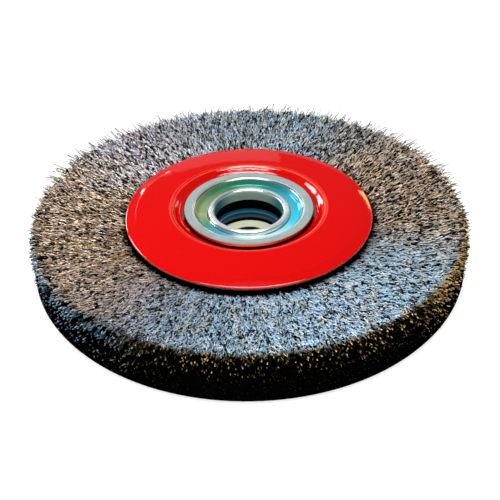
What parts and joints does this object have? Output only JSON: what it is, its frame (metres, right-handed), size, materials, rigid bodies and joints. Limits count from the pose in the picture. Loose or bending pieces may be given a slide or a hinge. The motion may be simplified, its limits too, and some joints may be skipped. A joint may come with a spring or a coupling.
{
  "type": "wire wheel brush",
  "caption": "Crimped wire wheel brush for a bench grinder, its steel wires folded over a ring between red dished plates, with a zinc-plated hub and a loose reducing ring.",
  "frame": {"origin": "centre of the wheel, on the bore's axis midway between the two faces", "axes": "+Z along the bore's axis, out of the front face. X and Y lie in the wheel's middle plane, and any direction in it is alike."},
  "size_m": [0.2, 0.2, 0.0224],
  "materials": {
    "wire_steel": "bright crimped steel wire",
    "red_enamel": "glossy red enamel",
    "zinc_plating": "smooth zinc plating",
    "dark_steel": "oiled, dark",
    "cream_plastic": "matt with fine turning marks"
  },
  "bodies": {
    "root": {"wire_fill": "wire_steel", "holding_ring": "dark_steel", "front_plate": "red_enamel", "rear_plate": "red_enamel", "front_hub_cup": "zinc_plating", "rear_hub_cup": "zinc_plating", "hub_spacer": "dark_steel", "reducing_ring": "cream_plastic"}
  },
  "joints": []
}
